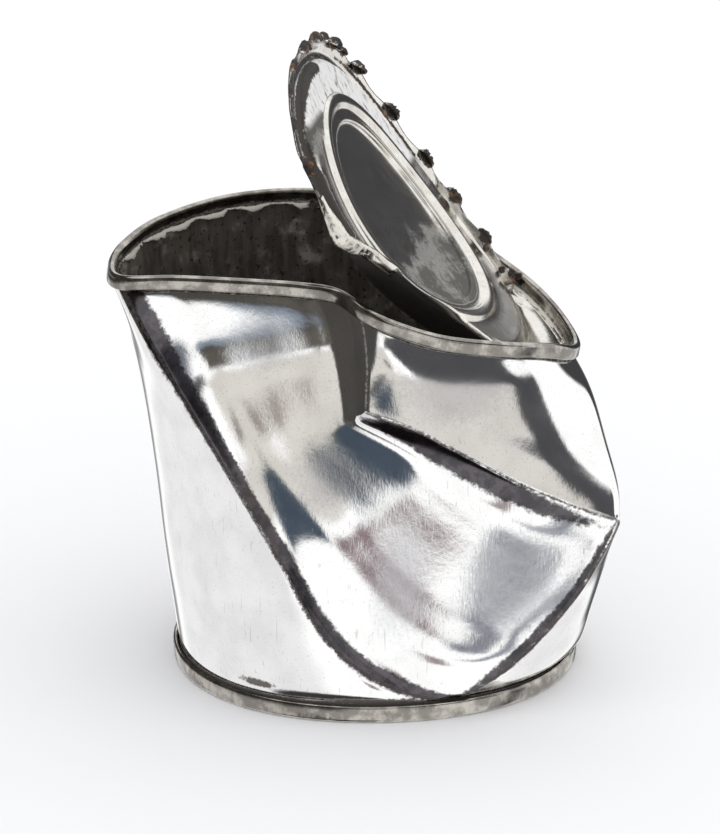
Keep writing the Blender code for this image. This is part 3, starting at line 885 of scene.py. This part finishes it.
class Nodes:
    """Short names for the node-building that the materials and the studio share."""

    def __init__(self, tree, shader="Principled BSDF"):
        self.tree, self.shader = tree, tree.nodes[shader]

    def add(self, kind, **settings):
        node = self.tree.nodes.new(kind)
        for name, value in settings.items():
            setattr(node, name, value)
        return node

    def put(self, socket, value):
        """Link an output to a socket, or set the socket to a number or a colour."""
        if isinstance(value, bpy.types.NodeSocket):
            self.tree.links.new(value, socket)
        else:
            socket.default_value = (*value, 1.0) if isinstance(value, tuple) else value

    def give(self, name, value):
        """Put a value into an input of the shader."""
        self.put(self.shader.inputs[name], value)

    def math(self, operation, *values, clamp=False):
        node = self.add("ShaderNodeMath", operation=operation, use_clamp=clamp)
        for socket, value in zip(node.inputs, values):
            self.put(socket, value)
        return node.outputs[0]

    def between(self, value, low, high):
        """0 below low and 1 above high, eased between; low may be the larger one."""
        node = self.add("ShaderNodeMapRange", interpolation_type="SMOOTHSTEP")
        for name, part in (("Value", value), ("From Min", low), ("From Max", high)):
            self.put(node.inputs[name], part)
        return node.outputs["Result"]

    def centred(self, *args, **settings):
        """Noise about zero."""
        return self.math("SUBTRACT", self.noise(*args, **settings), 0.5)

    def plus(self, value, more, amount):
        """A value, and another times an amount."""
        return self.math("ADD", value, self.math("MULTIPLY", more, amount))

    def over(self, colour, share, strength, paint):
        """A colour with a paint laid over it: where, and how strongly."""
        return self.mix(self.math("MULTIPLY", share, strength), colour, paint)

    def mix(self, share, first, second):
        """A colour between two others."""
        node = self.add("ShaderNodeMix", data_type="RGBA")
        for index, value in ((0, share), (6, first), (7, second)):
            self.put(node.inputs[index], value)
        return node.outputs[2]

    def noise(self, per_mm, detail=2.0, roughness=0.5, upright=1.0):
        """Noise with a number of lumps to a millimetre, and `upright` times as many along Z."""
        scale = self.add("ShaderNodeMapping")
        scale.inputs["Scale"].default_value = tuple(per_mm * part / MM for part in (1.0, 1.0, upright))
        self.put(scale.inputs["Vector"], self.add("ShaderNodeTexCoord").outputs["Object"])
        node = self.add("ShaderNodeTexNoise")
        self.put(node.inputs["Vector"], scale.outputs[0])
        node.inputs["Scale"].default_value = 1.0
        node.inputs["Detail"].default_value = detail
        node.inputs["Roughness"].default_value = roughness
        return node.outputs["Fac"]

    def attribute(self, name):
        return self.add("ShaderNodeAttribute", attribute_name=name).outputs["Fac"]

    def worn(self, name, edge, low, high):
        """Where a piece's attribute says, with noise at its edge: 0 below low and 1 above high."""
        return self.between(self.math("ADD", self.attribute(name), edge), low, high)

    def bump(self, height, depth, normal=None):
        """A surface relief, `depth` millimetres deep."""
        node = self.add("ShaderNodeBump")
        node.inputs["Distance"].default_value = depth * MM
        self.put(node.inputs["Height"], height)
        if normal is not None:
            self.put(node.inputs["Normal"], normal)
        return node.outputs[0]

    def vary(self, share, first, second):
        """A plain number between two others."""
        node = self.add("ShaderNodeMix")
        for index, value in ((0, share), (2, first), (3, second)):
            self.put(node.inputs[index], value)
        return node.outputs[0]


def new_material(name):
    """A material with its node helper."""
    material = bpy.data.materials.new(name)
    material.use_nodes = True
    return material, Nodes(material.node_tree)


def tin_surface(n, tin, dark, rough, grain):
    """What every tinned face has: a mottled colour, scratches, specks and shallow waves.

    Returns the colour and the roughness, for more to be laid over them.
    """
    mottle = n.noise(0.16, 4.0)
    cloud = n.noise(0.9, 5.0, roughness=0.65)
    colour = n.mix(n.between(mottle, 0.35, 0.7), tin, tuple(0.90 * c for c in tin))
    specks = n.between(n.noise(3.2), 0.62, 0.70)
    colour = n.over(colour, specks, 0.2 * grain, dark)
    scratches = n.between(n.noise(2.6, upright=0.035), 0.66, 0.72)
    colour = n.over(colour, scratches, 0.22 * grain, dark)
    roughness = n.plus(rough, n.math("ADD", cloud, scratches), 0.05 * grain)
    brushed = n.noise(3.0, 3.0, upright=0.06)
    normal = n.bump(mottle, 0.019 * grain)
    normal = n.bump(brushed, 0.0035 * grain, normal)
    n.give("Normal", n.bump(cloud, 0.006 * grain, normal))
    return colour, roughness


def bright_tin():
    """The outer wall: nearly a mirror, with tarnish, a weld, dark bands by the ridges that are painted
    shade and partly grime, and grime by its seams.
    """
    material, n = new_material("bright tinplate")
    dark = (0.10, 0.085, 0.075)
    colour, roughness = tin_surface(n, (0.88, 0.88, 0.875), dark, 0.05, 1.0)
    ragged = n.centred(1.3, 6.0, roughness=0.7)
    cloud = n.noise(0.45, 5.0, roughness=0.6)
    edge = n.math("MULTIPLY", ragged, 0.9)
    tarnish = n.worn("tarnish", edge, 0.35, 0.85)
    colour = n.over(colour, tarnish, 0.45, (0.52, 0.53, 0.56))
    # The ridges' dark bands: painted shade, partly grime.
    fringe = n.centred(0.5, 6.0, roughness=0.75)
    crease = n.worn("crease", n.plus(edge, fringe, 1.1), 0.36, 0.78)
    aside = n.math("ABSOLUTE", n.math("SUBTRACT", n.attribute("round"), WELD_AT))
    wavering = n.plus(aside, ragged, 0.002)
    weld = n.between(wavering, WELD_HALF + 0.0004, WELD_HALF - 0.001)
    weld_edge = n.between(n.math("ABSOLUTE", n.math("SUBTRACT", aside, WELD_HALF)), 0.0012, 0.0004)
    weld_colour = n.mix(cloud, (0.36, 0.35, 0.36), (0.16, 0.14, 0.13))
    colour = n.over(colour, weld, 0.8, weld_colour)
    colour = n.over(colour, weld_edge, 0.75, dark)
    # Near black in the bands: painted shade that stands in for dark reflections.
    shade = n.mix(n.between(cloud, 0.4, 0.6), (0.014, 0.012, 0.016), (0.06, 0.048, 0.058))
    colour = n.over(colour, crease, 0.93, shade)
    # Grime by the seams; along the ridges it is partly painted shade.
    grime_and_shade = n.worn("grime_and_shade", edge, 0.38, 0.62)
    colour = n.over(colour, grime_and_shade, 0.9, (0.055, 0.042, 0.034))
    n.give("Base Color", colour)
    roughness = n.plus(roughness, n.math("ADD", tarnish, crease), 0.06)
    n.give("Roughness", n.plus(roughness, grime_and_shade, 0.3))
    n.give("Metallic", n.vary(grime_and_shade, 1.0, 0.35))
    return material


def inside_tin():
    """The inner face: tarnished brown and nearly black, with paler blooms and spots."""
    material, n = new_material("tarnished inside")
    colour, roughness = tin_surface(n, (0.34, 0.31, 0.27), (0.02, 0.017, 0.014), 0.3, 1.6)
    streaks = n.between(n.noise(0.5, 5.0, roughness=0.65, upright=0.18), 0.4, 0.62)
    colour = n.over(colour, streaks, 0.65, (0.13, 0.11, 0.10))
    bloom = n.between(n.noise(0.22, 6.0, roughness=0.7), 0.5, 0.7)
    colour = n.over(colour, bloom, 0.75, (0.62, 0.60, 0.56))
    spots = n.between(n.noise(1.1, 3.0), 0.62, 0.68)
    colour = n.over(colour, spots, 0.8, (0.07, 0.035, 0.02))
    n.give("Base Color", colour)
    n.give("Roughness", roughness)
    n.give("Metallic", n.vary(bloom, 0.75, 0.35))
    return material


def dull_tin():
    """Both ends: greyer and more worn than the wall, with grime in the grooves and rust on cut edges; the
    lid's groove is darkened, its folded-under part painted in shade, and its lower panel's film partly a
    painted dark reflection.
    """
    material, n = new_material("dull tinplate")
    colour, roughness = tin_surface(n, (0.74, 0.72, 0.68), (0.07, 0.06, 0.05), 0.13, 1.5)
    ragged = n.centred(1.0, 6.0, roughness=0.7)
    stain = n.between(n.noise(0.28, 4.0), 0.42, 0.66)
    colour = n.over(colour, stain, 0.35, (0.50, 0.45, 0.36))
    blotches = n.noise(0.3, 7.0, roughness=0.62)
    seam = n.mix(n.between(blotches, 0.40, 0.64), (0.15, 0.135, 0.12), (0.44, 0.415, 0.375))
    colour = n.over(colour, n.attribute("seam"), 0.85, seam)
    edge = n.plus(n.math("MULTIPLY", ragged, 0.6), n.centred(0.13, 3.0), 0.9)
    film_and_reflection = n.math("MULTIPLY", n.worn("film_and_reflection", edge, 0.25, 0.95), 1.275, clamp=True)
    streaks = n.noise(0.9, 5.0, roughness=0.7, upright=0.25)
    # The film's colour: near black on the lower panel, a painted dark reflection over some film, and pale
    # on the ring round the tip.
    light = n.between(n.attribute("film_and_reflection"), 0.74, 0.88)
    film_and_reflection_colour = n.mix(light, (0.11, 0.107, 0.096), (0.82, 0.81, 0.80))
    film_and_reflection_colour = n.mix(n.between(streaks, 0.50, 0.72), film_and_reflection_colour, (0.10, 0.10, 0.10))
    colour = n.mix(film_and_reflection, colour, film_and_reflection_colour)
    # The part of the lid folded under, painted near black: painted shade.
    fold = n.attribute("fold")
    colour = n.over(colour, fold, 0.96, (0.03, 0.027, 0.022))
    cream = n.worn("cream", ragged, 0.5, 0.75)
    colour = n.over(colour, cream, 0.9, (0.80, 0.76, 0.68))
    # Grime by the seams, and the lid's groove darkened.
    grime_and_shade = n.worn("grime_and_shade", n.math("MULTIPLY", ragged, 0.9), 0.35, 0.65)
    colour = n.over(colour, grime_and_shade, 0.97, (0.035, 0.03, 0.026))
    rust = n.worn("rust", ragged, 0.42, 0.62)
    orange = n.between(n.noise(0.8, 4.0), 0.52, 0.72)
    rust_colour = n.mix(orange, (0.022, 0.018, 0.016), (0.22, 0.10, 0.036))
    colour = n.over(colour, rust, 0.95, rust_colour)
    n.give("Base Color", colour)
    worn = n.math("MAXIMUM", grime_and_shade, rust)
    for part in (film_and_reflection, fold, cream):
        worn = n.math("MAXIMUM", worn, part)
    n.give("Roughness", n.plus(roughness, worn, 0.4))
    n.give("Metallic", n.vary(worn, 1.0, 0.2))
    n.give("Specular IOR Level", n.vary(worn, 0.5, 0.12))
    return material


# --- the studio
# What stands round the can, as soft cards that its metal reflects. Each has its azimuth from -Y towards +X
# and its elevation, in degrees; half its width and height; how soft its edges are; its brightness; and how
# far it leans over for each degree up.
CARDS = (
    ("floor on the left", (-85.0, -30.0), (62.0, 22.0), 9.0, (0.96, 0.95, 0.96), 0.0),
    ("floor on the right", (122.0, -36.0), (30.0, 22.0), 9.0, (0.98, 0.97, 0.98), 0.0),
    ("room", (-88.5, 23.0), (77.5, 37.0), 2.0, (0.07, 0.065, 0.058), 0.0),
    ("room on the right", (36.0, 34.0), (31.0, 12.5), 1.5, (0.08, 0.08, 0.085), -0.4),
    ("room above right", (6.0, 58.0), (9.0, 12.0), 3.0, (0.13, 0.14, 0.18), -0.9),
    ("table's far side", (32.5, 15.0), (30.5, 6.5), 1.5, (0.78, 0.75, 0.71), 0.0),
    ("room beyond the table", (70.0, 20.0), (10.5, 7.5), 1.5, (0.08, 0.08, 0.085), 0.9),
    ("screen", (-3.0, 28.5), (8.0, 13.5), 1.5, (0.80, 0.77, 0.715), 0.0),
    ("left of the camera", (-14.0, 10.0), (9.0, 10.0), 1.5, (0.10, 0.10, 0.10), 0.4),
    ("camera", (-1.0, 9.0), (5.8, 8.5), 1.2, (0.06, 0.083, 0.115), -0.3),
    ("room above the screen", (-13.5, 50.0), (5.0, 5.5), 1.5, (0.11, 0.10, 0.085), -0.4),
    ("sky patch", (-18.0, 60.0), (5.0, 2.2), 1.5, (0.26, 0.31, 0.38), 0.0),
    ("camera's grip", (1.0, 28.0), (1.5, 3.5), 1.5, (0.27, 0.22, 0.20), -0.6),
    ("strip light", (9.0, 31.0), (3.0, 10.0), 1.5, (1.5, 1.5, 1.5), -0.5),
    ("hand", (11.5, 1.2), (2.2, 2.2), 0.8, (0.23, 0.155, 0.175), 0.0),
    ("under the hand", (7.5, -18.5), (2.4, 3.4), 1.0, (0.34, 0.27, 0.28), 0.0),
    ("table's dark spot", (23.5, 0.5), (5.0, 2.6), 1.0, (0.07, 0.07, 0.07), 0.0),
    ("table's grey middle", (18.0, -3.4), (3.6, 2.1), 0.7, (0.24, 0.25, 0.30), 0.0),
    ("table's grey edge", (26.5, -8.0), (4.0, 4.5), 1.0, (0.30, 0.31, 0.36), 2.0),
    ("under the can's foot", (-30.0, -74.0), (36.0, 26.0), 2.0, (0.05, 0.04, 0.045), 0.0),
    ("stripe beside the left", (-161.0, -24.0), (5.0, 30.0), 4.0, (0.30, 0.30, 0.31), 0.0),
    ("stripe behind", (-178.0, -22.0), (4.0, 24.0), 3.5, (0.30, 0.30, 0.31), 0.1),
    ("stripe behind the right", (162.0, -34.0), (6.0, 26.0), 4.0, (0.10, 0.10, 0.105), -0.1),
    ("stripe beside the right", (76.0, -22.0), (7.0, 22.0), 4.0, (0.20, 0.20, 0.21), 0.0),
    ("floor's far edge", (-150.0, -1.0), (45.0, 4.0), 3.0, (0.45, 0.45, 0.46), 0.0),
    ("room at the back", (153.0, 2.0), (17.0, 13.0), 3.0, (0.055, 0.055, 0.06), 0.0),
)
# The tent between the cards, the light that falls on the floor, and the floor: its colour, and half its
# size in metres.
TENT = (1.22, 1.22, 1.22)
DAYLIGHT = (1.09, 1.095, 1.11)
FLOOR = (0.93, 0.93, 0.935)
FLOOR_HALF = 1.5


def make_world():
    """A white tent for the floor's light. The metal sees it too, with the cards in it."""
    world = bpy.data.worlds.new("studio")
    bpy.context.scene.world = world
    world.use_nodes = True
    n = Nodes(world.node_tree, "Background")
    split = n.add("ShaderNodeSeparateXYZ")
    n.put(split.inputs[0], n.add("ShaderNodeTexCoord").outputs["Generated"])
    x, y, z = split.outputs
    turn = 180.0 / math.pi
    azimuth = n.math("MULTIPLY", n.math("ARCTAN2", x, n.math("MULTIPLY", y, -1.0)), turn)
    elevation = n.math("MULTIPLY", n.math("ARCSINE", z), turn)
    colour = TENT
    for _, (at, height), (wide, tall), soft, light, lean in CARDS:
        rise = n.math("SUBTRACT", elevation, height)
        side = n.math("SUBTRACT", n.math("SUBTRACT", azimuth, at), n.math("MULTIPLY", rise, lean))
        side = n.math("ABSOLUTE", n.math("WRAP", side, 180.0, -180.0))
        rise = n.math("ABSOLUTE", rise)
        inside = n.math("MULTIPLY", n.between(side, wide + soft, wide - soft),
                        n.between(rise, tall + soft, tall - soft))
        colour = n.mix(inside, colour, light)
    ray = n.add("ShaderNodeLightPath")
    n.give("Color", n.mix(ray.outputs["Is Glossy Ray"], DAYLIGHT, colour))
    n.give("Strength", 1.0)


def make_studio():
    """A pale floor in a white tent."""
    size = FLOOR_HALF
    mesh = bpy.data.meshes.new("floor")
    corners = [(-size, -size, 0), (size, -size, 0), (size, size, 0), (-size, size, 0)]
    mesh.from_pydata(corners, [], [(0, 1, 2, 3)])
    floor = placed("floor", mesh)
    material, n = new_material("floor")
    n.give("Base Color", FLOOR)
    n.give("Roughness", 1.0)
    n.give("Specular IOR Level", 0.0)
    mesh.materials.append(material)
    floor.visible_glossy = False
    make_world()
    bpy.context.scene.view_settings.view_transform = "Standard"


CAN_CENTRE = can_centre()
MATERIALS = {"bright": bright_tin(), "inside": inside_tin(), "dull": dull_tin()}
make_camera()
make_studio()
make_wall()
make_bottom_end()
make_top_end()
